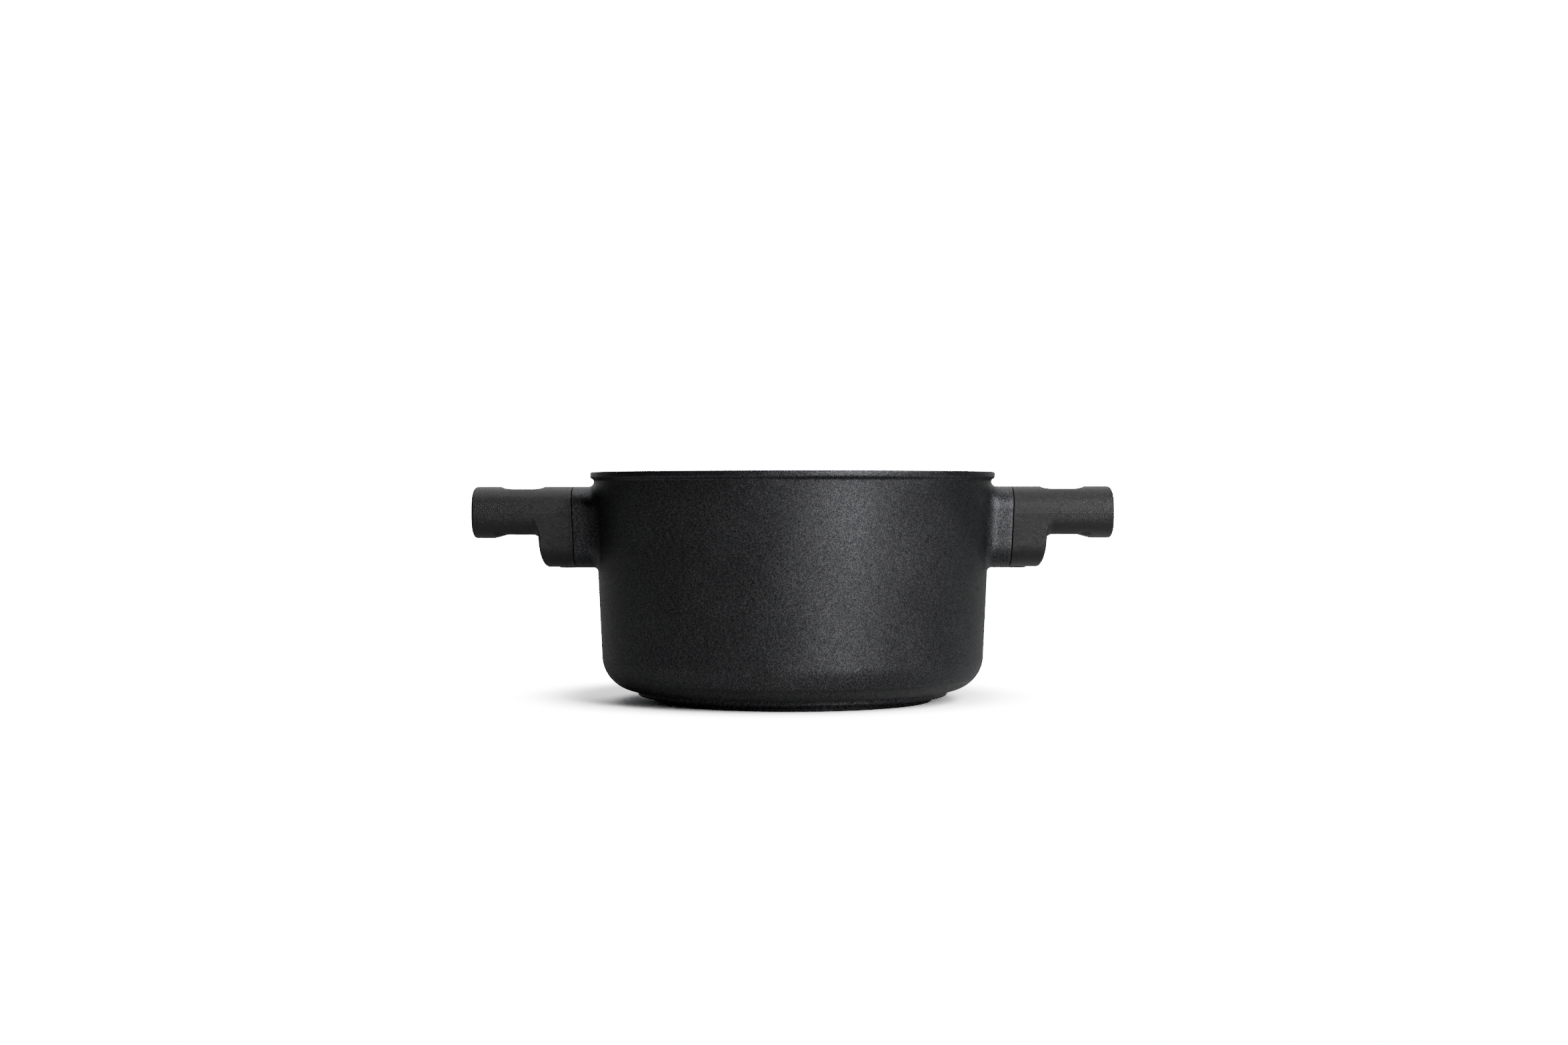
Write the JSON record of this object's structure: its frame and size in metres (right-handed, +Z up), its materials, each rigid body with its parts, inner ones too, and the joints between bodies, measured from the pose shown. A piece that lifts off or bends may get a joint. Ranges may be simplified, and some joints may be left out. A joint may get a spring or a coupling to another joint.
{
  "type": "two-handled cooking pot",
  "caption": "Round dark-coated cast aluminium casserole with a rim band, stepped foot and steel base plate, and a moulded loop handle screwed to a cast lug on each side.",
  "frame": {"origin": "centre of the foot's resting face, on the pot's axis", "axes": "+Z up along the pot's axis, +X towards the right handle, +Y towards the back"},
  "size_m": [0.3328, 0.2126, 0.12],
  "materials": {
    "coated_casting": "cast aluminium under a near-black non-stick coating with a fine sparkle",
    "base_steel": "bare ferritic steel, turned flat with the foot",
    "phenolic": "satin black moulded phenolic",
    "fastener_steel": "plain stainless steel"
  },
  "bodies": {
    "root": {"pot_body": "coated_casting", "induction_plate": "base_steel", "right_handle": "phenolic", "left_handle": "phenolic", "right_screw": "fastener_steel", "left_screw": "fastener_steel", "right_lock_washer": "fastener_steel", "left_lock_washer": "fastener_steel", "right_thread_insert": "fastener_steel", "left_thread_insert": "fastener_steel"}
  },
  "joints": []
}
